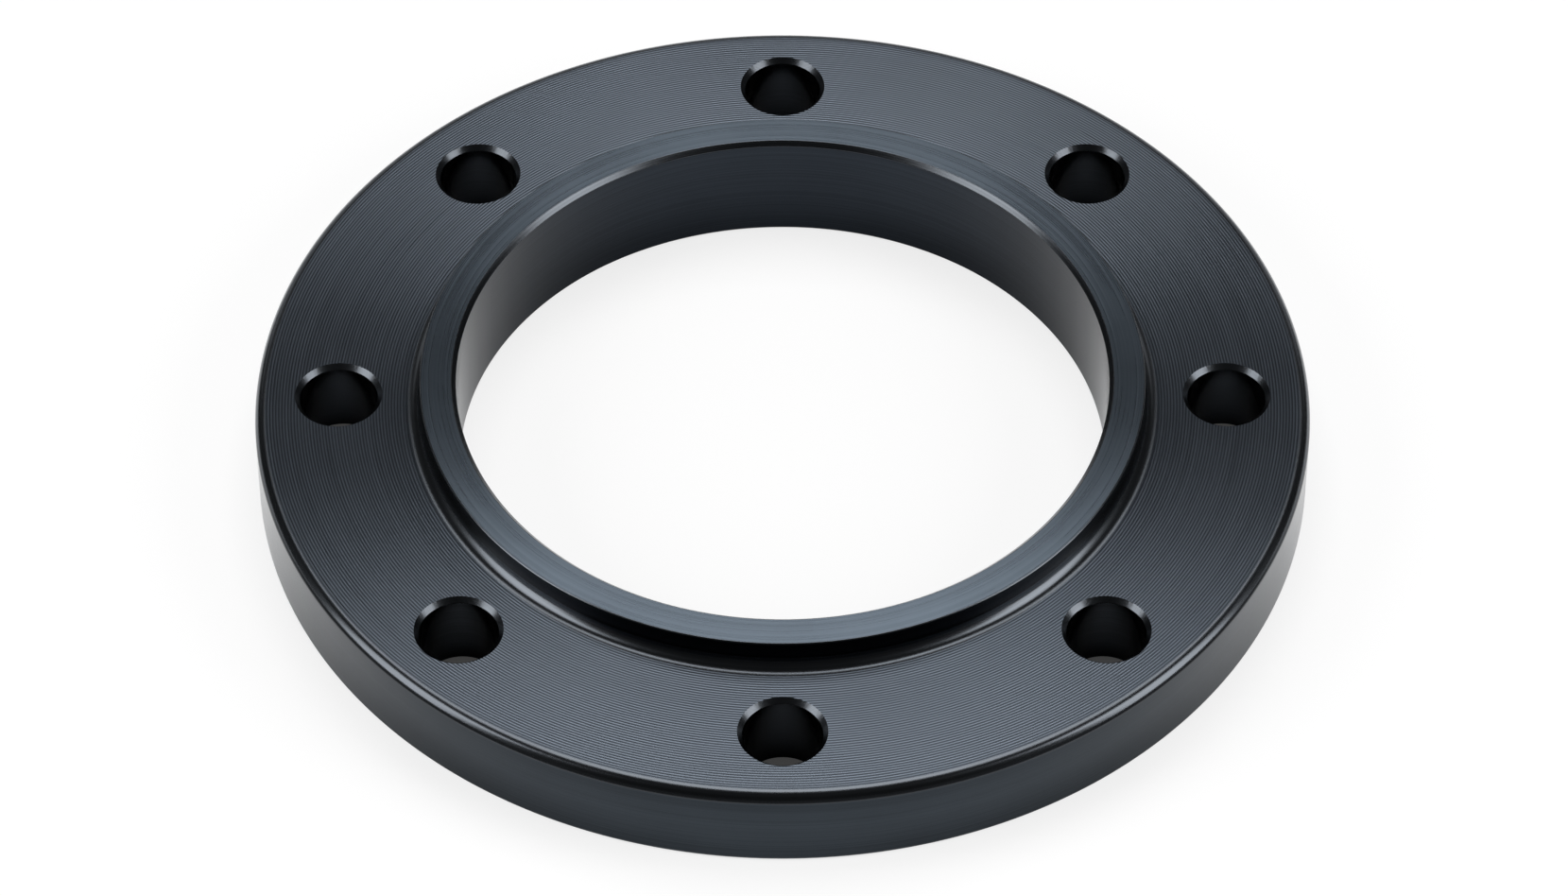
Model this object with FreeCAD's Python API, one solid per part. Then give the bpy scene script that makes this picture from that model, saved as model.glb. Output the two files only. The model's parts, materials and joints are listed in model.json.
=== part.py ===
import FreeCAD, Part
import math
import os

# A ring type joint flange, turned from one forged steel disc and drilled.
# Sizes are in millimetres. The origin is the centre of the sealing face, on the axis of the bore,
# with +Z towards the hub. One bolt hole lies on +X.

# Bolt holes
bolt_circle_d = 240.0
bolt_count = 8
bolt_hole_d = 21.0
bolt_chamfer_hub_side = 1.35
bolt_chamfer_seal_side = 2.4

# Flange plate, whose rim runs at this distance outside the bolt circle
rim_distance = 22.5
flange_od = bolt_circle_d + 2 * rim_distance
flange_thickness = 25.0
rim_radius_hub_side = 2.8
rim_chamfer_seal_side = 0.8

# Hub, the low ring that stands on the back of the plate round the bore
hub_od = 195.5
hub_height = 8.8
hub_edge_chamfer = 0.25
hub_root_fillet = 3.4

# Bore
bore_d = 176.0
bore_chamfer_hub_side = 1.2
bore_chamfer_seal_side = 1.0

# Ring groove in the sealing face, which holds the metal ring of the joint
groove_pitch_d = 193.68
groove_width = 8.74
groove_depth = 6.35
groove_wall_angle = 23.0
groove_floor_break = 0.53

# How far a cutting tool stands out of the face that it enters
tool_overrun = 2.0

AXIS = FreeCAD.Vector(0, 0, 1)
CENTRE = FreeCAD.Vector(0, 0, 0)


def corner_arc(before, corner, after, radius):
    """The arc that is tangent to both sides of a corner, and its two ends."""
    to_before = (before - corner).normalize()
    to_after = (after - corner).normalize()
    half_angle = to_before.getAngle(to_after) / 2
    reach = radius / math.tan(half_angle)
    start = corner + to_before * reach
    end = corner + to_after * reach
    inwards = (to_before + to_after).normalize()
    middle = corner + inwards * (radius / math.sin(half_angle) - radius)
    return Part.Arc(start, middle, end).toShape(), start, end


def section_face(corners):
    """A flat face in the XZ plane from (radius, height, corner radius) triples, in order."""
    points = [FreeCAD.Vector(radius, 0, height) for radius, height, rounding in corners]
    arcs = []
    starts = []
    ends = []
    for index, (radius, height, rounding) in enumerate(corners):
        start = points[index]
        end = points[index]
        if rounding > 0:
            after = points[(index + 1) % len(points)]
            arc, start, end = corner_arc(points[index - 1], points[index], after, rounding)
            arcs.append(arc)
        starts.append(start)
        ends.append(end)
    sides = [Part.makeLine(ends[index - 1], starts[index]) for index in range(len(points))]
    outline = Part.Wire(Part.__sortEdges__(sides + arcs))
    return Part.Face(outline)


def turned(corners):
    """The solid that a section makes when it is turned once round the Z axis."""
    return section_face(corners).revolve(CENTRE, AXIS, 360)


def turned_blank():
    """The plate and its hub with the bore, before the groove is cut and the holes are drilled."""
    rim_r = flange_od / 2
    hub_r = hub_od / 2
    bore_r = bore_d / 2
    top = flange_thickness + hub_height
    return turned([
        (bore_r + bore_chamfer_seal_side, 0, 0),
        (rim_r - rim_chamfer_seal_side, 0, 0),
        (rim_r, rim_chamfer_seal_side, 0),
        (rim_r, flange_thickness, rim_radius_hub_side),
        (hub_r, flange_thickness, hub_root_fillet),
        (hub_r, top - hub_edge_chamfer, 0),
        (hub_r - hub_edge_chamfer, top, 0),
        (bore_r + bore_chamfer_hub_side, top, 0),
        (bore_r, top - bore_chamfer_hub_side, 0),
        (bore_r, bore_chamfer_seal_side, 0),
    ])


def groove_tool():
    """The ring that the groove takes out: a trapezium, narrower at its floor, with broken corners."""
    pitch_r = groove_pitch_d / 2
    lean = math.radians(groove_wall_angle)
    mouth_half = groove_width / 2 + tool_overrun * math.tan(lean)
    floor_half = groove_width / 2 - groove_depth * math.tan(lean)
    flat_half = floor_half - groove_floor_break
    break_half = floor_half + groove_floor_break * math.sin(lean)
    break_z = groove_depth - groove_floor_break * math.cos(lean)
    return turned([
        (pitch_r - mouth_half, -tool_overrun, 0),
        (pitch_r + mouth_half, -tool_overrun, 0),
        (pitch_r + break_half, break_z, 0),
        (pitch_r + flat_half, groove_depth, 0),
        (pitch_r - flat_half, groove_depth, 0),
        (pitch_r - break_half, break_z, 0),
    ])


def bolt_hole_tool():
    """What one bolt hole takes out: a drilled hole with a countersunk edge on both faces."""
    hole_r = bolt_hole_d / 2
    low_r = hole_r + bolt_chamfer_seal_side + tool_overrun
    high_r = hole_r + bolt_chamfer_hub_side + tool_overrun
    return turned([
        (0, -tool_overrun, 0),
        (low_r, -tool_overrun, 0),
        (hole_r, bolt_chamfer_seal_side, 0),
        (hole_r, flange_thickness - bolt_chamfer_hub_side, 0),
        (high_r, flange_thickness + tool_overrun, 0),
        (0, flange_thickness + tool_overrun, 0),
    ])


def bolt_circle_tools():
    """The bolt hole's tool, repeated evenly round the bolt circle."""
    tools = []
    for index in range(bolt_count):
        tool = bolt_hole_tool()
        tool.translate(FreeCAD.Vector(bolt_circle_d / 2, 0, 0))
        tool.rotate(CENTRE, AXIS, 360 * index / bolt_count)
        tools.append(tool)
    return tools


def flange():
    """The finished flange as one solid."""
    body = turned_blank().cut(groove_tool())
    return body.cut(bolt_circle_tools())


def write_part(name, shape):
    """Write one STEP file, and say how many solids it has and whether they are sound."""
    solid = shape.Solids[0]
    print(name, "solids", len(shape.Solids), "valid", solid.isValid(), "volume", round(solid.Volume, 1))
    solid.exportStep(f"parts/{name}.step")


os.makedirs("parts", exist_ok=True)
write_part("flange", flange())
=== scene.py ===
import json
import math

import bpy
import numpy as np
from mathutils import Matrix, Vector


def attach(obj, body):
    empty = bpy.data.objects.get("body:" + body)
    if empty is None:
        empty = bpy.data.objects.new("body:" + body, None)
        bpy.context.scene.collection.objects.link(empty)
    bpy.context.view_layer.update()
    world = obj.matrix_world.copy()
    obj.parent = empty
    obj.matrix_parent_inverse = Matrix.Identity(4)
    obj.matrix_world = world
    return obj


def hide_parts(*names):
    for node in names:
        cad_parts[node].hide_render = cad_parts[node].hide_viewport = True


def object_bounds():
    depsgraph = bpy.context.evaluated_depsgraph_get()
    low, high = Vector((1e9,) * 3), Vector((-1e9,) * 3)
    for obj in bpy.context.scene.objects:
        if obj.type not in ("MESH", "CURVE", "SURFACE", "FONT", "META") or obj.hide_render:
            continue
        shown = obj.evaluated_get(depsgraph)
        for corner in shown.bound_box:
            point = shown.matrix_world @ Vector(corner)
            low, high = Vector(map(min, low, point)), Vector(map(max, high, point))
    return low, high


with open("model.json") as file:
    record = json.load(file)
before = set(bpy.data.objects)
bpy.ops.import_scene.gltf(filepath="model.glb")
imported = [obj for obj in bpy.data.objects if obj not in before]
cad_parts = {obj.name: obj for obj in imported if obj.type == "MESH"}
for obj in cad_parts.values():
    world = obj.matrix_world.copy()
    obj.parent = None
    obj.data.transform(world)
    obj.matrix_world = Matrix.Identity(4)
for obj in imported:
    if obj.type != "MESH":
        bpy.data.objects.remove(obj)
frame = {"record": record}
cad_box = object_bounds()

bl_info = {
    "name": "Turned Pipe Flange",
    "version": (1, 0, 0),
    "blender": (4, 5, 0),
    "location": "3D View > Sidebar > Flange",
    "description": "Makes a blackened steel ring joint flange with turned grooves, in a plain studio",
    "category": "Add Mesh",
}

# The flange lies on its sealing face, with its axis on Z and its hub upwards. Lengths are in metres.
MM = 0.001
MOUNTS = {mount["name"]: mount for mount in frame["record"]["mounts"]}
BOLT_HOLES = MOUNTS["bolt_holes"]["dims"]
NODE = "flange"
BODY = "root"

# The finishes of the flange, in the order of the piece's material slots
FINISHES = (
    "grooved_face", "hub_top", "cut_edge", "rim_wall", "bore_wall", "hub_wall", "hole_wall", "seal_face",
)
SLOT_OF = {name: index for index, name in enumerate(FINISHES)}

# Steps round each kind of rounded corner
WIDE_STEPS = 12
FOOT_STEPS = 7
FLOOR_STEPS = 5
MOUTH_STEPS = 4
SOFT_STEPS = 3
DRILL_STEPS = 2

# The turned grooves of the plate's face, with their depth as a share of a full scallop's
MARK_POINTS = 4          # points along one groove
FIRST_DEPTH = 2.2        # of the first groove, where the tool came out of the fillet
INNER_DEPTH = 1.15       # at the inner end of the face
DEPTH_LOSS = 0.35        # what is lost from there to the outer end
FADED_DEPTH = 0.25       # the share of it that is left at the rim

DRILL_OVERRUN = 2 * MM   # how far a drill runs past both faces of the plate

# Shading: edges that turn by more than this stay sharp, and large faces lead over small ones
SHARP_ANGLE = math.radians(18)
LARGE_FACES_LEAD = 100

# The fine lathe lines: the distance from one to the next on each kind of face, and their depth
EDGE_PITCH = 0.3 * MM
GROOVED_PITCH = 0.35 * MM
INNER_PITCH = 0.4 * MM
OPEN_PITCH = 0.5 * MM
FLAT_DEPTH = 0.004 * MM
WALL_DEPTH = 0.002 * MM

# The steel's tone, made of the lathe lines and of wider clouds between them
LINES_ALONG = 9.0        # how often a line changes along its own way, in a metre
CLOUD_SCALE = 22.0       # how often the clouds change, in a metre
LINES_SHARE = 0.7
TONE_LOW = 0.3
TONE_HIGH = 0.7
TONE_CONTRAST = 0.25     # how far the tone moves the colour, as a share of it
CALM_CONTRAST = 0.15     # the same where the turned grooves show
GLOSS_CHANGE = 0.15      # how far the tone moves the roughness, as a share of it

WHITE = (1.0, 1.0, 1.0, 1.0)
LEVEL = (1.0, 1.0, 0.0)  # takes the height out of a place
UPWARDS = (0.0, 0.0, 1.0)

# The floor's own light, as a share of white
SEEN_GLOW = 0.76
MIRRORED_GLOW = 0.03
# Under the plate the floor's own light is cut to this share: a painted shadow, with a dim painted glow that
# the bolt holes show
COVERED_GLOW = 0.055     # the share of both that is left under the plate
COVER_MARGIN = 1 * MM    # how far the plate reaches past the covered ring

# How much of the lit floor the camera sees, and how much paler or darker it is painted for reflections: a
# painted reflection on the flange's walls
SEEN_SHARE = 0.3
MIRRORED_PALER = 0.55
MIRRORED_DARKER = -0.9
CLOSE_FROM = 10 * MM     # distances past the covered ring over which the paleness is lost
CLOSE_TO = 36 * MM
BEHIND_REACH = 50 * MM   # half the width of the step from the floor in front to the floor behind

FLOOR_HALF = 6.0         # half the floor's width
FLOOR_DROP = 0.2 * MM    # how far it lies below the sealing face

# Places and sizes of the soft lamps. The side lamp is the right one, and the left one mirrors it.
TOP_LAMP = {"place": (0.0, 0.75, 2.07), "width": 1.5, "height": 1.3}
BACK_LAMP = {"place": (0.0, 2.4, 0.75), "width": 4.0, "height": 1.3}
SIDE_LAMP = {"place": (1.10, -0.32, 0.56), "width": 0.65, "height": 1.1}

SENSOR_WIDTH = 36.0      # in millimetres, as the lens is
CAMERA_REACH = 50.0      # how far the camera sees


def mm_size(name, description, millimetres):
    """A length that is shown and stored in metres, with its default given in millimetres."""
    return bpy.props.FloatProperty(
        name=name, description=description, default=millimetres * MM, min=0.0,
        subtype="DISTANCE", unit="LENGTH", precision=5)


def metre_size(name, description, metres):
    """A length in metres, for what stands round the flange."""
    return bpy.props.FloatProperty(
        name=name, description=description, default=metres, subtype="DISTANCE", unit="LENGTH", precision=5)


def colour(name, description, default):
    """A linear colour."""
    return bpy.props.FloatVectorProperty(
        name=name, description=description, default=default, size=3, min=0.0, max=1.0, subtype="COLOR")


def factor(name, description, default):
    """A plain number between 0 and 1."""
    return bpy.props.FloatProperty(
        name=name, description=description, default=default, min=0.0, max=1.0, subtype="FACTOR")


def angle(name, description, degrees):
    """An angle that is stored in radians, with its default given in degrees."""
    return bpy.props.FloatProperty(
        name=name, description=description, default=math.radians(degrees), subtype="ANGLE")


def power(name, description, watts):
    """The power of a lamp, in watts."""
    return bpy.props.FloatProperty(name=name, description=description, default=watts, min=0.0, unit="POWER")


def whole(name, description, default, least):
    """A whole number that is never below the least one."""
    return bpy.props.IntProperty(name=name, description=description, default=default, min=least)


class FlangeSizes(bpy.types.PropertyGroup):
    """Sizes of the flange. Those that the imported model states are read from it."""

    rim_radius: mm_size("Rim radius", "Radius of the plate's outer wall", cad_box[1].x / MM)
    plate_height: mm_size("Plate height", "Thickness of the plate", MOUNTS["nut_face"]["pos_m"][2] / MM)
    top_height: mm_size("Top height", "Height of the hub's top above the sealing face", cad_box[1].z / MM)
    bore_radius: mm_size("Bore radius", "Radius of the bore", MOUNTS["bore"]["dims"]["r_mm"])
    hub_radius: mm_size("Hub radius", "Radius of the hub's outer wall", 97.75)
    hub_fillet: mm_size("Hub fillet", "Radius of the fillet at the hub's root", 3.4)
    hub_edge: mm_size("Hub edge", "Chamfer of the hub's outer edge", 0.25)
    rim_edge: mm_size("Rim edge", "Rounding of the rim on the hub side", 2.8)
    rim_foot: mm_size("Rim foot", "Rounding of the rim on the sealing side", 1.0)
    bore_edge: mm_size("Bore edge", "Chamfer of the bore on the hub side", 1.2)
    bore_foot: mm_size("Bore foot", "Chamfer of the bore on the sealing side", 1.0)
    bolt_circle: mm_size("Bolt circle", "Radius of the circle of bolt holes", BOLT_HOLES["pcd_mm"] / 2)
    hole_radius: mm_size("Hole radius", "Radius of a bolt hole", BOLT_HOLES["hole_r_mm"])
    hole_chamfer: mm_size("Hole chamfer", "Countersink of a bolt hole on the hub side", 1.35)
    hole_foot: mm_size("Hole foot", "Countersink of a bolt hole on the sealing side", 2.4)
    groove_pitch_radius: mm_size("Ring groove radius", "Radius of the ring groove's centre line", 96.84)
    groove_width: mm_size("Ring groove width", "Width of the ring groove at the face", 8.74)
    groove_depth: mm_size("Ring groove depth", "Depth of the ring groove", 6.35)
    groove_lean: angle("Ring groove lean", "Lean of the ring groove's walls", 23.0)
    groove_corner: mm_size("Ring groove corner", "Radius of the ring groove's floor corners", 0.8)
    edge_break: mm_size("Edge break", "Radius that takes the sharpness off an edge", 0.25)
    mark_pitch: mm_size("Turning pitch", "Distance from one turned groove of the face to the next", 0.82)
    mark_nose: mm_size("Tool nose", "Radius of the tool's nose that cut the turned grooves", 1.5)
    mark_fade: mm_size("Turning fade", "Width beside the rim over which the grooves grow shallow", 1.5)
    hole_count: whole("Holes", "Number of bolt holes", BOLT_HOLES["count"], 1)
    segments: whole("Segments", "Steps round the flange", 320, 32)
    hole_segments: whole("Hole segments", "Steps round a bolt hole", 56, 12)


class FlangeFinish(bpy.types.PropertyGroup):
    """Colours and gloss of the blackened steel."""

    face: colour("Grooved face", "Steel of the plate's grooved face", (0.074, 0.086, 0.103))
    hub: colour("Hub top", "Steel of the hub's top and of the sealing face", (0.097, 0.119, 0.144))
    edge: colour("Cut edges", "Steel of the chamfers, the fillet and the ring groove", (0.073, 0.080, 0.089))
    # The rim, the bore and the holes take darker copies of the same steel: painted shade on the rim's wall,
    # in the bore, in the bolt holes and on the hub's wall
    rim: colour("Rim", "Steel of the plate's outer wall", (0.030, 0.037, 0.045))
    bore: colour("Bore", "Steel of the bore", (0.017, 0.021, 0.027))
    hole: colour("Holes", "Steel inside the bolt holes and on the hub's wall", (0.013, 0.015, 0.018))
    face_rough: factor("Face roughness", "Roughness of the grooved face", 0.31)
    hub_rough: factor("Hub roughness", "Roughness of the hub's top and of the sealing face", 0.285)
    edge_rough: factor("Edge roughness", "Roughness of the cut edges and the hub's wall", 0.24)
    wall_rough: factor("Wall roughness", "Roughness of the rim, the bore and the bolt holes", 0.14)
    face_brush: factor("Face brushing", "How far the grooved face spreads its gloss along the radius", 0.74)
    hub_brush: factor("Hub brushing", "How far the hub's top spreads its gloss along the radius", 0.77)
    wall_brush: factor("Wall brushing", "How far the rim and the bore spread their gloss upwards", 0.4)
    # Painted shade along the middle of each turned groove and painted highlight on its crest
    groove_painted_shade: factor("Groove contrast", "How much darker a turned groove is along its middle", 0.55)


class StudioSettings(bpy.types.PropertyGroup):
    """Camera, lamps and floor."""

    camera_distance: metre_size("Camera distance", "Distance of the camera from the flange's centre", 1.888)
    camera_elevation: angle("Camera elevation", "Height of the camera above the horizon", 47.0)
    camera_lens: bpy.props.FloatProperty(
        name="Lens", description="Focal length on a 36 mm sensor, in millimetres", default=158.83,
        unit="CAMERA")
    aim_side: metre_size("Aim side", "Where the camera looks, along X", 0.00038)
    aim_height: metre_size("Aim height", "Where the camera looks, along Z", 0.00386)
    floor_colour: colour("Floor", "Colour of the pale floor", (0.9, 0.9, 0.9))
    top_power: power("Top lamp", "Power of the overhead lamp", 24.0)
    side_power: power("Side lamps", "Power of each side lamp", 10.0)
    back_power: power("Back lamp", "Power of the wide low lamp behind", 11.0)
    room_light: factor("Room light", "Strength of the room's own light", 0.045)


def arc_points(before, corner, after, radius, steps):
    """Points of the arc that is tangent to both sides of a corner.

    With h as half the angle between the sides, the arc starts radius / tan(h) before the corner and
    its centre lies radius / sin(h) from the corner on the bisector. The points are the centre plus
    the first spoke turned evenly through 180 degrees less twice h.
    """
    to_before = (before - corner) / np.linalg.norm(before - corner)
    to_after = (after - corner) / np.linalg.norm(after - corner)
    half = math.acos(float(np.clip(to_before @ to_after, -1.0, 1.0))) / 2
    bisector = (to_before + to_after) / np.linalg.norm(to_before + to_after)
    centre = corner + bisector * radius / math.sin(half)
    spoke = corner + to_before * radius / math.tan(half) - centre
    last = corner + to_after * radius / math.tan(half) - centre
    way = np.sign(spoke[0] * last[1] - spoke[1] * last[0])
    turn = way * np.linspace(0.0, math.pi - 2 * half, steps + 1)
    across = np.array([-spoke[1], spoke[0]])
    return centre + np.outer(np.cos(turn), spoke) + np.outer(np.sin(turn), across)


def outline(corners):
    """An outline in radius and height, and the finish of each of its steps.

    Each corner is (radius, height, rounding, steps, finish of the rounding, finish of the side that
    follows). The outline is closed. A corner with no rounding is one point.
    """
    places = [np.array(corner[:2]) for corner in corners]
    points = []
    finishes = []
    for index, (_, _, rounding, steps, arc_finish, side_finish) in enumerate(corners):
        if rounding > 0:
            after = places[(index + 1) % len(places)]
            arc = arc_points(places[index - 1], places[index], after, rounding, steps)
        else:
            arc = places[index][None, :]
        points.append(arc)
        finishes += [SLOT_OF[arc_finish]] * (len(arc) - 1) + [SLOT_OF[side_finish]]
    return np.concatenate(points), np.array(finishes)


def marks_span(sizes):
    """Where the turned grooves start and end, and how many fit between."""
    start = sizes.hub_radius + sizes.hub_fillet
    end = sizes.rim_radius - sizes.rim_edge
    return start, end, int((end - start) / sizes.mark_pitch)


def turning_marks(sizes):
    """Points of the plate's grooved face, from the fillet to the rim.

    A round-nosed tool leaves a row of equal scallops. Within one pitch the height is the face less
    the scallop's depth plus x squared over twice the nose radius, where x is the distance from the
    scallop's middle and the depth is what that gives at half a pitch. The depth falls evenly
    outwards, and a smooth step takes it down beside the rim. The first scallop is deeper.
    """
    start, end, count = marks_span(sizes)
    pitch = (end - start) / count
    steps = np.arange(1, count * MARK_POINTS)
    x = ((steps % MARK_POINTS) / MARK_POINTS - 0.5) * pitch
    sag = (pitch * pitch / 4 - x * x) / (2 * sizes.mark_nose)
    radius = start + (end - start) * steps / (count * MARK_POINTS)
    step = np.clip((end - radius) / sizes.mark_fade, 0.0, 1.0)
    fade = FADED_DEPTH + (1 - FADED_DEPTH) * step * step * (3 - 2 * step)
    fall = INNER_DEPTH - DEPTH_LOSS * (radius - start) / (end - start)
    depth = np.where(steps < MARK_POINTS, FIRST_DEPTH, fade * fall)
    return np.stack([radius, sizes.plate_height - sag * depth], axis=1)


def turned_mesh(name, points, finishes, segments):
    """A closed mesh from a closed outline carried once round the Z axis.

    A vertex is (radius cos a, radius sin a, height), with a even steps of the full turn. Row i and
    column j are joined to the next row and column, and both directions wrap round.
    """
    rows = len(points)
    turn = np.arange(segments) * (2 * math.pi / segments)
    vertices = np.empty((rows, segments, 3))
    vertices[:, :, 0] = points[:, 0, None] * np.cos(turn)
    vertices[:, :, 1] = points[:, 0, None] * np.sin(turn)
    vertices[:, :, 2] = points[:, 1, None]
    number = np.arange(rows * segments).reshape(rows, segments)
    below = np.roll(number, -1, axis=0)
    quads = np.stack([number, below, np.roll(below, -1, axis=1), np.roll(number, -1, axis=1)], axis=-1)
    return quad_mesh(name, vertices.reshape(-1, 3), quads.reshape(-1, 4), np.repeat(finishes, segments))


def quad_mesh(name, vertices, quads, finishes):
    """A mesh from arrays of vertices, quads and the finish of each quad."""
    mesh = bpy.data.meshes.new(name)
    mesh.vertices.add(len(vertices))
    mesh.vertices.foreach_set("co", vertices.astype(np.float32).ravel())
    mesh.loops.add(quads.size)
    mesh.loops.foreach_set("vertex_index", quads.astype(np.int32).ravel())
    mesh.polygons.add(len(quads))
    mesh.polygons.foreach_set("loop_start", np.arange(0, quads.size, 4, dtype=np.int32))
    mesh.polygons.foreach_set("material_index", finishes.astype(np.int32))
    mesh.update(calc_edges=True)
    mesh.validate()
    return mesh


def body_outline(sizes):
    """The flange's half section, clockwise from the hub's root: face, rim, sealing side, bore, hub.

    The ring groove's walls lean in, so its floor is narrower than its mouth by twice the depth times
    the tangent of the lean. The turned grooves are put into the side between the root and the rim.
    """
    s = sizes
    plate, top, rim, bore = s.plate_height, s.top_height, s.rim_radius, s.bore_radius
    soft = s.edge_break
    ring = s.groove_pitch_radius
    mouth = s.groove_width / 2
    floor = mouth - s.groove_depth * math.tan(s.groove_lean)
    points, finishes = outline([
        (s.hub_radius, plate, s.hub_fillet, WIDE_STEPS, "cut_edge", "grooved_face"),
        (rim, plate, s.rim_edge, WIDE_STEPS, "cut_edge", "rim_wall"),
        (rim, 0.0, s.rim_foot, FOOT_STEPS, "cut_edge", "seal_face"),
        (ring + mouth, 0.0, soft, MOUTH_STEPS, "cut_edge", "cut_edge"),
        (ring + floor, s.groove_depth, s.groove_corner, FLOOR_STEPS, "cut_edge", "cut_edge"),
        (ring - floor, s.groove_depth, s.groove_corner, FLOOR_STEPS, "cut_edge", "cut_edge"),
        (ring - mouth, 0.0, soft, MOUTH_STEPS, "cut_edge", "seal_face"),
        (bore + s.bore_foot, 0.0, soft, SOFT_STEPS, "cut_edge", "cut_edge"),
        (bore, s.bore_foot, soft, SOFT_STEPS, "cut_edge", "bore_wall"),
        (bore, top - s.bore_edge, soft, SOFT_STEPS, "cut_edge", "cut_edge"),
        (bore + s.bore_edge, top, soft, SOFT_STEPS, "cut_edge", "hub_top"),
        (s.hub_radius - s.hub_edge, top, s.hub_edge, SOFT_STEPS, "cut_edge", "cut_edge"),
        (s.hub_radius, top - s.hub_edge, s.hub_edge, SOFT_STEPS, "cut_edge", "hub_wall"),
    ])
    grooved = SLOT_OF["grooved_face"]
    first = int(np.flatnonzero(finishes == grooved)[0]) + 1
    marks = turning_marks(s)
    return np.insert(points, first, marks, axis=0), np.insert(finishes, first, np.full(len(marks), grooved))


def drill_outline(sizes):
    """One drill's outline from its lower end to its upper one: the hole's wall between two cones.

    The cones open at 45 degrees and run past both faces of the plate. The first and the last corner,
    on the drill's own axis, only give their neighbours a side to meet, so they are left out.
    """
    s = sizes
    plate = s.plate_height
    low = s.hole_radius + s.hole_foot + DRILL_OVERRUN
    high = s.hole_radius + s.hole_chamfer + DRILL_OVERRUN
    points, finishes = outline([
        (0.0, -DRILL_OVERRUN, 0, 0, "cut_edge", "cut_edge"),
        (low, -DRILL_OVERRUN, 0, 0, "cut_edge", "cut_edge"),
        (s.hole_radius, s.hole_foot, s.edge_break, DRILL_STEPS, "cut_edge", "hole_wall"),
        (s.hole_radius, plate - s.hole_chamfer, s.edge_break, DRILL_STEPS, "cut_edge", "cut_edge"),
        (high, plate + DRILL_OVERRUN, 0, 0, "cut_edge", "cut_edge"),
        (0.0, plate + DRILL_OVERRUN, 0, 0, "cut_edge", "cut_edge"),
    ])
    return points[1:-1], finishes[1:-2]


def hole_tools(sizes):
    """The drills of all the bolt holes as one mesh.

    One drill is its outline carried round its own axis, at (radius cos a + bolt circle, radius sin a,
    height), and is closed by a flat disc at each end. Drill k is that one turned about the flange's
    axis by k even steps of the full turn.
    """
    points, finishes = drill_outline(sizes)
    count, rows, columns = sizes.hole_count, len(points), sizes.hole_segments
    turn = np.arange(columns) * (2 * math.pi / columns)
    x = points[:, 0, None] * np.cos(turn) + sizes.bolt_circle
    y = points[:, 0, None] * np.sin(turn)
    z = np.broadcast_to(points[:, 1, None], (count, rows, columns))
    places = np.arange(count) * (2 * math.pi / count)
    cos = np.cos(places)[:, None, None]
    sin = np.sin(places)[:, None, None]
    vertices = np.stack([x * cos - y * sin, x * sin + y * cos, z], axis=-1)
    number = np.arange(rows * columns).reshape(rows, columns)
    inner, outer = number[:-1], number[1:]
    side = np.stack([inner, np.roll(inner, -1, axis=1), np.roll(outer, -1, axis=1), outer], axis=-1)
    side = side.reshape(-1, 4)
    faces = []
    for first in range(0, count * rows * columns, rows * columns):
        faces += (side + first).tolist()
        faces += [(number[0] + first)[::-1].tolist(), (number[-1] + first).tolist()]
    slots = np.append(np.repeat(finishes, columns), [SLOT_OF["cut_edge"]] * 2)
    mesh = bpy.data.meshes.new("hole_tools")
    mesh.from_pydata(vertices.reshape(-1, 3).tolist(), [], faces)
    mesh.polygons.foreach_set("material_index", np.tile(slots, count).astype(np.int32))
    mesh.update()
    return mesh


def placed(name, data):
    """An object for a mesh, a lamp or a camera, at the origin, in the scene."""
    thing = bpy.data.objects.new(name, data)
    bpy.context.scene.collection.objects.link(thing)
    return thing


def settled(thing):
    """Puts the result of an object's modifiers into its own mesh and takes them off."""
    graph = bpy.context.evaluated_depsgraph_get()
    mesh = bpy.data.meshes.new_from_object(thing.evaluated_get(graph), depsgraph=graph)
    old = thing.data
    thing.modifiers.clear()
    thing.data = mesh
    bpy.data.meshes.remove(old)
    mesh.name = thing.name


class Shader:
    """The node tree of a material or a world, written as a chain of calls."""

    def __init__(self, owner):
        owner.use_nodes = True
        self.tree = owner.node_tree
        self.tree.nodes.clear()

    def add(self, kind, *links, **settings):
        """Adds a node. Settings name its properties, and links fill its input sockets in order."""
        node = self.tree.nodes.new(kind)
        for key, value in settings.items():
            setattr(node, key, value)
        for index, link in enumerate(links):
            self.feed(node.inputs[index], link)
        return node

    def feed(self, socket, link):
        """Joins an output to an input socket, or sets the socket's own value."""
        if isinstance(link, bpy.types.NodeSocket):
            self.tree.links.new(link, socket)
        else:
            socket.default_value = link

    def maths(self, operation, *links):
        """A sum, product or other operation on plain numbers."""
        return self.add("ShaderNodeMath", *links, operation=operation).outputs[0]

    def vector(self, operation, *links):
        """An operation on vectors. A length comes out as a plain number."""
        node = self.add("ShaderNodeVectorMath", *links, operation=operation)
        return node.outputs["Value" if operation == "LENGTH" else "Vector"]

    def ramp(self, value, low, high, to_low, to_high):
        """A straight ramp that is to_low at low and to_high at high, and level past both."""
        return self.add("ShaderNodeMapRange", value, low, high, to_low, to_high).outputs[0]

    def noise(self, place, scale, detail, rough):
        """Noise at a place, round a half."""
        node = self.add("ShaderNodeTexNoise")
        self.feed(node.inputs["Vector"], place)
        node.inputs["Scale"].default_value = scale
        node.inputs["Detail"].default_value = detail
        node.inputs["Roughness"].default_value = rough
        return node.outputs[0]

    def show(self, kind, surface):
        """Adds the tree's output node, of this kind, and joins the surface to it."""
        output = self.add(kind)
        self.feed(output.inputs["Surface"], surface.outputs[0])


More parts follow.
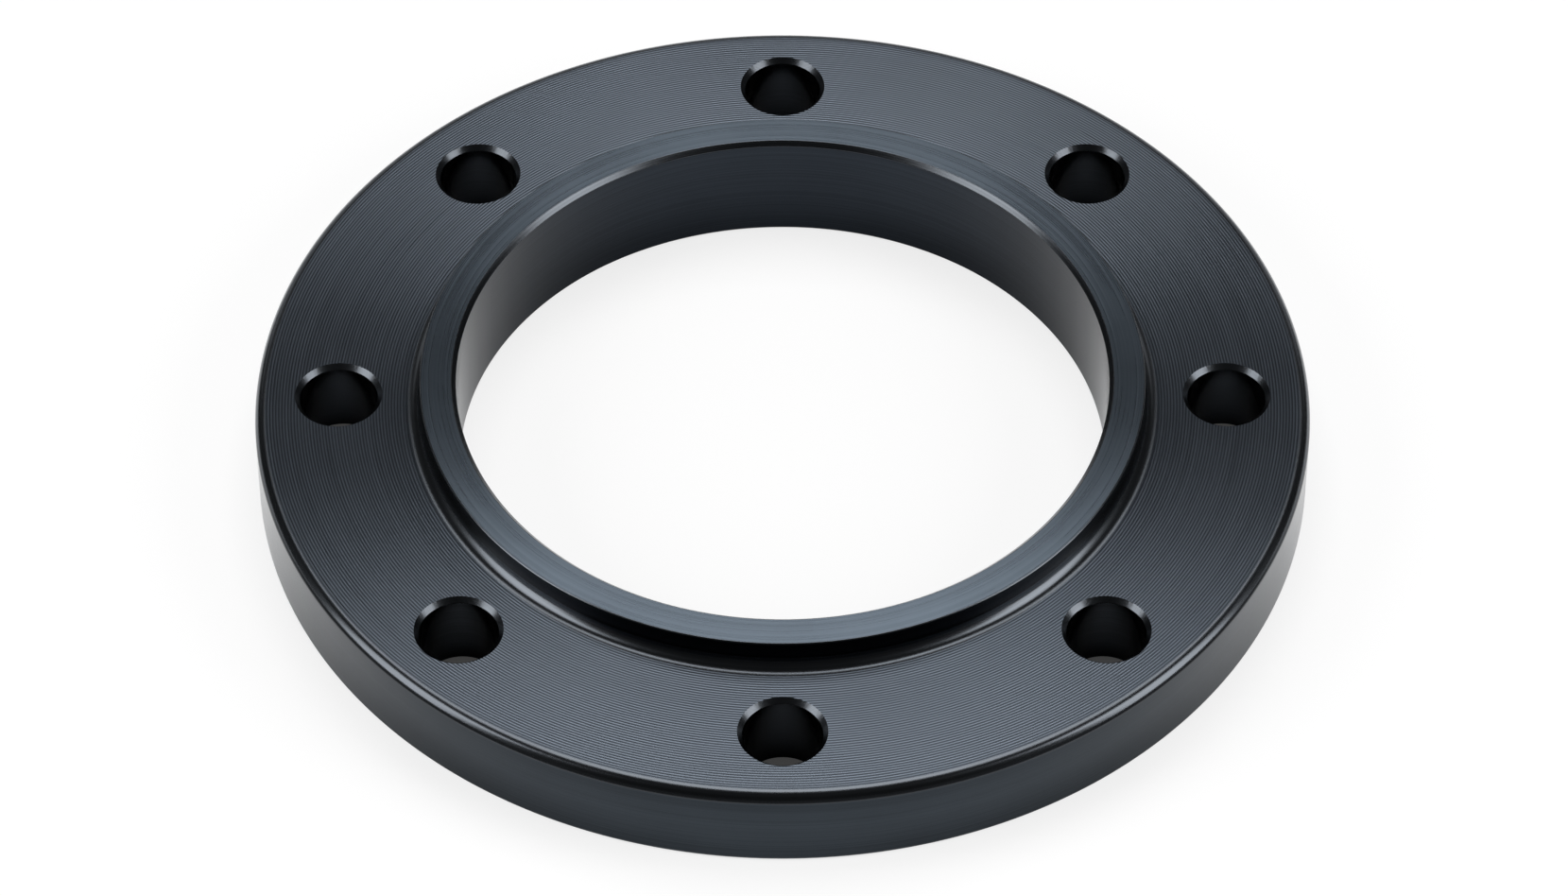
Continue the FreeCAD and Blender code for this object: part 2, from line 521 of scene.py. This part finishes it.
def painted_groove_shade(nodes, radius, sizes, contrast):
    """Painted shade and highlight that follow the turned grooves, as a colour factor: 1 plus the contrast on
    a crest and less in a groove.

    It is 1 + contrast * cos(2 pi (radius - start) / pitch), where start and pitch are those of the mesh.
    """
    start, end, count = marks_span(sizes)
    waves = 2 * math.pi * count / (end - start)
    phase = nodes.maths("MULTIPLY", nodes.maths("SUBTRACT", radius, start), waves)
    return nodes.maths("ADD", nodes.maths("MULTIPLY", nodes.maths("COSINE", phase), contrast), 1.0)


def lathe_lines(nodes, across, along, pitch):
    """Noise that changes about once in a pitch across the cut, and slowly along it."""
    fast = nodes.maths("DIVIDE", across, pitch)
    slow = nodes.maths("MULTIPLY", along, LINES_ALONG)
    place = nodes.add("ShaderNodeCombineXYZ", fast, slow, 0.0).outputs[0]
    return nodes.noise(place, scale=1.0, detail=3.0, rough=0.6)


def turned_steel(name, base, rough, brush, across, line_pitch, line_depth=0.0,
                 contrast=TONE_CONTRAST, grooves=None):
    """Blackened steel with lathe lines.

    The lines follow each other across the radius on a flat face, and across the height on a wall.
    With the clouds they vary colour and roughness, and with a depth they also tilt the surface. The
    gloss spreads across the lines. Grooves holds the sizes and the contrast of the painted shade and
    highlight that follow the turned grooves.
    """
    material = bpy.data.materials.new(name)
    nodes = Shader(material)
    place = nodes.add("ShaderNodeTexCoord").outputs["Object"]
    parts = nodes.add("ShaderNodeSeparateXYZ", place)
    flat = nodes.vector("MULTIPLY", place, LEVEL)
    radius = nodes.vector("LENGTH", flat)
    on_wall = across == "height"
    lines = lathe_lines(nodes, parts.outputs["Z"] if on_wall else radius, parts.outputs["Y"], line_pitch)
    clouds = nodes.noise(place, scale=CLOUD_SCALE, detail=4.0, rough=0.55)
    share_of_lines = nodes.maths("MULTIPLY", lines, LINES_SHARE)
    share_of_clouds = nodes.maths("MULTIPLY", clouds, 1 - LINES_SHARE)
    tone = nodes.maths("ADD", share_of_lines, share_of_clouds)
    shade = nodes.ramp(tone, TONE_LOW, TONE_HIGH, 1.0 - contrast, 1.0 + contrast)
    gloss = nodes.ramp(tone, TONE_LOW, TONE_HIGH, rough * (1 - GLOSS_CHANGE), rough * (1 + GLOSS_CHANGE))
    # Painted shade in the turned grooves and painted highlight on their crests
    if grooves:
        shade = nodes.maths("MULTIPLY", shade, painted_groove_shade(nodes, radius, *grooves))
    steel = nodes.add("ShaderNodeBsdfPrincipled")
    nodes.feed(steel.inputs["Base Color"], nodes.vector("MULTIPLY", shade, tuple(base)))
    nodes.feed(steel.inputs["Roughness"], gloss)
    steel.inputs["Metallic"].default_value = 1.0
    steel.inputs["Anisotropic"].default_value = brush
    if brush > 0:
        spread = nodes.add("ShaderNodeCombineXYZ", *UPWARDS).outputs[0] if on_wall else flat
        nodes.feed(steel.inputs["Tangent"], spread)
    if line_depth > 0:
        bump = nodes.add("ShaderNodeBump")
        bump.inputs["Strength"].default_value = 1.0
        bump.inputs["Distance"].default_value = line_depth
        nodes.feed(bump.inputs["Height"], lines)
        nodes.feed(steel.inputs["Normal"], bump.outputs[0])
    nodes.show("ShaderNodeOutputMaterial", steel)
    return material


def flange_materials(finish, sizes):
    """One material for each finish, in the order of the slots."""
    f = finish
    made = (
        turned_steel("grooved_face", f.face, f.face_rough, f.face_brush, "radius", GROOVED_PITCH,
                     contrast=CALM_CONTRAST, grooves=(sizes, f.groove_painted_shade)),
        turned_steel("hub_top", f.hub, f.hub_rough, f.hub_brush, "radius", OPEN_PITCH, FLAT_DEPTH),
        turned_steel("cut_edge", f.edge, f.edge_rough, 0.0, "radius", EDGE_PITCH),
        # Painted shade: the rim, the bore, the hub's wall and the holes' walls get the darker copies of the
        # steel
        turned_steel("rim_wall", f.rim, f.wall_rough, f.wall_brush, "height", OPEN_PITCH, WALL_DEPTH),
        turned_steel("bore_wall", f.bore, f.wall_rough, f.wall_brush, "height", OPEN_PITCH, WALL_DEPTH),
        turned_steel("hub_wall", f.hole, f.edge_rough, 0.0, "radius", INNER_PITCH),
        turned_steel("hole_wall", f.hole, f.wall_rough, 0.0, "height", INNER_PITCH),
        turned_steel("seal_face", f.hub, f.hub_rough, f.hub_brush, "radius", INNER_PITCH, FLAT_DEPTH),
    )
    by_name = {material.name: material for material in made}
    return [by_name[name] for name in FINISHES]


class FLANGE_OT_turn_body(bpy.types.Operator):
    """Turns the flange with its grooves and drills its bolt holes"""

    bl_idname = "flange.turn_body"
    bl_label = "Turn the flange"

    def execute(self, context):
        sizes = context.scene.flange_sizes
        points, finishes = body_outline(sizes)
        body = placed("flange_body", turned_mesh("flange_body", points, finishes, sizes.segments))
        tools = placed("hole_tools", hole_tools(sizes))
        for material in flange_materials(context.scene.flange_finish, sizes):
            body.data.materials.append(material)
            tools.data.materials.append(material)
        drill = body.modifiers.new("bolt_holes", "BOOLEAN")
        drill.operation = "DIFFERENCE"
        drill.solver = "EXACT"
        drill.material_mode = "INDEX"
        drill.object = tools
        settled(body)
        bpy.data.objects.remove(tools)
        body.data.shade_smooth()
        body.data.set_sharp_from_angle(angle=SHARP_ANGLE)
        even = body.modifiers.new("even_shading", "WEIGHTED_NORMAL")
        even.keep_sharp = True
        even.weight = LARGE_FACES_LEAD
        settled(body)
        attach(body, BODY)
        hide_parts(NODE)
        return {"FINISHED"}


def floor_material(name, diffuse, inner, outer):
    """A plain diffuse floor, with its own light added for camera, transmission and glossy rays.

    Camera rays see less of the lit floor and more of its own light, so the shadow is faint in the
    picture. Under the plate, between the inner and the outer radius, only a little of that light is
    left: a painted shadow, with a dim painted glow where the bolt holes show the floor. In a
    reflection the lit floor is painted paler close to the outer radius and behind the flange, and
    darker further out on the camera's side, a painted reflection on the flange's walls.
    """
    material = bpy.data.materials.new(name)
    nodes = Shader(material)
    path = nodes.add("ShaderNodeLightPath")
    seen = nodes.maths("MAXIMUM", path.outputs["Is Camera Ray"], path.outputs["Is Transmission Ray"])
    mirrored = path.outputs["Is Glossy Ray"]
    place = nodes.add("ShaderNodeTexCoord").outputs["Object"]
    radius = nodes.vector("LENGTH", nodes.vector("MULTIPLY", place, LEVEL))
    away = nodes.add("ShaderNodeSeparateXYZ", place).outputs["Y"]

    # Painted shadow under the plate, with a dim painted glow left for the bolt holes
    in_bore = nodes.maths("LESS_THAN", radius, inner)
    outside = nodes.maths("GREATER_THAN", radius, outer)
    uncovered = nodes.ramp(nodes.maths("MAXIMUM", in_bore, outside), 0.0, 1.0, COVERED_GLOW, 1.0)
    seen_glow = nodes.maths("MULTIPLY", seen, SEEN_GLOW)
    glow = nodes.maths("ADD", seen_glow, nodes.maths("MULTIPLY", mirrored, MIRRORED_GLOW))
    light = nodes.add("ShaderNodeEmission", WHITE, nodes.maths("MULTIPLY", glow, uncovered))

    # Painted reflection: glossy rays see the floor paler close to the flange and behind it, and darker
    # further out in front
    close = nodes.ramp(radius, outer + CLOSE_FROM, outer + CLOSE_TO, MIRRORED_PALER, MIRRORED_DARKER)
    behind = nodes.ramp(away, -BEHIND_REACH, BEHIND_REACH, MIRRORED_DARKER, MIRRORED_PALER)
    change = nodes.maths("MULTIPLY", mirrored, nodes.maths("MAXIMUM", close, behind))
    share = nodes.maths("ADD", nodes.ramp(seen, 0.0, 1.0, 1.0, SEEN_SHARE), change)
    matte = nodes.add("ShaderNodeBsdfDiffuse", nodes.vector("MULTIPLY", tuple(diffuse), share))
    both = nodes.add("ShaderNodeAddShader", matte.outputs[0], light.outputs[0])
    nodes.show("ShaderNodeOutputMaterial", both)
    return material


def make_floor(settings, sizes):
    """A wide flat floor just below the sealing face."""
    h = FLOOR_HALF
    mesh = bpy.data.meshes.new("floor")
    mesh.from_pydata([(-h, -h, 0), (h, -h, 0), (h, h, 0), (-h, h, 0)], [], [(0, 1, 2, 3)])
    inner = sizes.bore_radius + COVER_MARGIN
    outer = sizes.rim_radius - COVER_MARGIN
    mesh.materials.append(floor_material("pale_floor", settings.floor_colour, inner, outer))
    floor = placed("floor", mesh)
    floor.location.z = -FLOOR_DROP


def make_lamp(name, watts, place, width, height, side=1):
    """A rectangular soft lamp that shines towards the origin. Side -1 mirrors its place to the left."""
    lamp = bpy.data.lights.new(name, "AREA")
    lamp.shape = "RECTANGLE"
    lamp.size = width
    lamp.size_y = height
    lamp.energy = watts
    thing = placed(name, lamp)
    thing.location = (side * place[0], place[1], place[2])
    thing.rotation_euler = (-thing.location).to_track_quat("-Z", "Y").to_euler()


def make_lamps(settings):
    """One lamp overhead, a wide low one behind and one on each side. The camera's side is dark."""
    make_lamp("top_lamp", settings.top_power, **TOP_LAMP)
    make_lamp("back_lamp", settings.back_power, **BACK_LAMP)
    make_lamp("left_lamp", settings.side_power, side=-1, **SIDE_LAMP)
    make_lamp("right_lamp", settings.side_power, **SIDE_LAMP)


def make_world(settings):
    """A room that is white where the camera sees it, and dim as a light."""
    world = bpy.data.worlds.new("studio_room")
    bpy.context.scene.world = world
    nodes = Shader(world)
    path = nodes.add("ShaderNodeLightPath")
    room = nodes.add("ShaderNodeBackground", WHITE, settings.room_light)
    white = nodes.add("ShaderNodeBackground", WHITE, 1.0)
    mix = nodes.add("ShaderNodeMixShader", path.outputs["Is Camera Ray"], room.outputs[0], white.outputs[0])
    nodes.show("ShaderNodeOutputWorld", mix)


def make_camera(settings):
    """The camera, at the photograph's viewing angle."""
    camera = bpy.data.cameras.new("camera")
    camera.sensor_width = SENSOR_WIDTH
    camera.sensor_fit = "HORIZONTAL"
    camera.lens = settings.camera_lens
    camera.clip_end = CAMERA_REACH
    thing = placed("camera", camera)
    distance, elevation = settings.camera_distance, settings.camera_elevation
    thing.location = (0.0, -distance * math.cos(elevation), distance * math.sin(elevation))
    aim = Vector((settings.aim_side, 0.0, settings.aim_height))
    thing.rotation_euler = (aim - thing.location).to_track_quat("-Z", "Y").to_euler()
    bpy.context.scene.camera = thing


class FLANGE_OT_set_stage(bpy.types.Operator):
    """Sets up the pale floor, the soft lamps, the room and the camera"""

    bl_idname = "flange.set_stage"
    bl_label = "Set the stage"

    def execute(self, context):
        settings = context.scene.flange_studio
        make_floor(settings, context.scene.flange_sizes)
        make_lamps(settings)
        make_world(settings)
        make_camera(settings)
        context.scene.view_settings.view_transform = "Standard"
        return {"FINISHED"}


class FLANGE_PT_panel(bpy.types.Panel):
    """Sizes, finish and studio of the flange"""

    bl_idname = "FLANGE_PT_panel"
    bl_label = "Turned Pipe Flange"
    bl_space_type = "VIEW_3D"
    bl_region_type = "UI"
    bl_category = "Flange"

    def draw(self, context):
        scene = context.scene
        for group in (scene.flange_sizes, scene.flange_finish, scene.flange_studio):
            box = self.layout.box()
            for name in group.__annotations__:
                box.prop(group, name)
        self.layout.operator(FLANGE_OT_turn_body.bl_idname)
        self.layout.operator(FLANGE_OT_set_stage.bl_idname)


CLASSES = (
    FlangeSizes, FlangeFinish, StudioSettings, FLANGE_OT_turn_body, FLANGE_OT_set_stage, FLANGE_PT_panel,
)


def register():
    """Registers the classes, and gives the scene their settings."""
    for cls in CLASSES:
        bpy.utils.register_class(cls)
    bpy.types.Scene.flange_sizes = bpy.props.PointerProperty(type=FlangeSizes)
    bpy.types.Scene.flange_finish = bpy.props.PointerProperty(type=FlangeFinish)
    bpy.types.Scene.flange_studio = bpy.props.PointerProperty(type=StudioSettings)


def unregister():
    """Takes away what register added."""
    del bpy.types.Scene.flange_studio
    del bpy.types.Scene.flange_finish
    del bpy.types.Scene.flange_sizes
    for cls in reversed(CLASSES):
        bpy.utils.unregister_class(cls)


def main():
    register()
    bpy.ops.flange.turn_body()
    bpy.ops.flange.set_stage()


if __name__ == "__main__":
    main()
